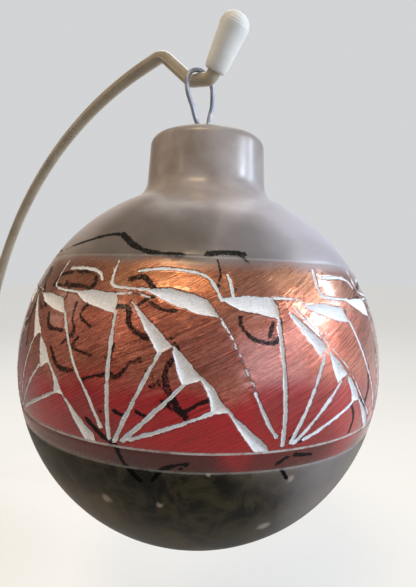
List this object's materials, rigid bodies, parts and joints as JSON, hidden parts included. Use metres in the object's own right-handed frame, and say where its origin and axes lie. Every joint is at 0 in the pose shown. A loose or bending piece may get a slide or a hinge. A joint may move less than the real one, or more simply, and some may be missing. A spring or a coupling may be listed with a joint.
{
  "type": "ceramic ball ornament",
  "caption": "Hollow clay ball ornament with a short neck, on a spring wire loop, hanging free in the saddle of a bent rod arm with a bullet cap.",
  "frame": {"origin": "the hang point: the top of the rod at the bottom of the arm's saddle, where the wire loop rests", "axes": "+Z is plumb, upwards. The arm bows away from the origin towards -X and +Y, 40 degrees off the X axis, and its foot points down (-Z)."},
  "size_m": [0.1264, 0.1124, 0.1336],
  "materials": {
    "arm_paint": "gloss cream paint",
    "cap_plastic": "satin off-white",
    "hanger_wire": "drawn grey steel",
    "ball_clay": "burnished smoke-clouded clay with a painted and etched band"
  },
  "bodies": {
    "hanger_arm": {"display_arm": "arm_paint", "arm_tip": "cap_plastic"},
    "wire_loop": {"wire_hanger": "hanger_wire"},
    "ornament": {"ball_shell": "ball_clay"}
  },
  "joints": [
    {"name": "loop_swing", "type": "hinge", "parent": "hanger_arm", "child": "wire_loop", "pos_m": [0, 0, -0.00153], "axis": [0.766, -0.6428, 0], "range_deg": [-60, 60]},
    {"name": "ball_turn", "type": "hinge", "parent": "wire_loop", "child": "ornament", "pos_m": [0, 0, -0.06374], "axis": [0.0361, 0, 0.9993], "continuous": true}
  ]
}
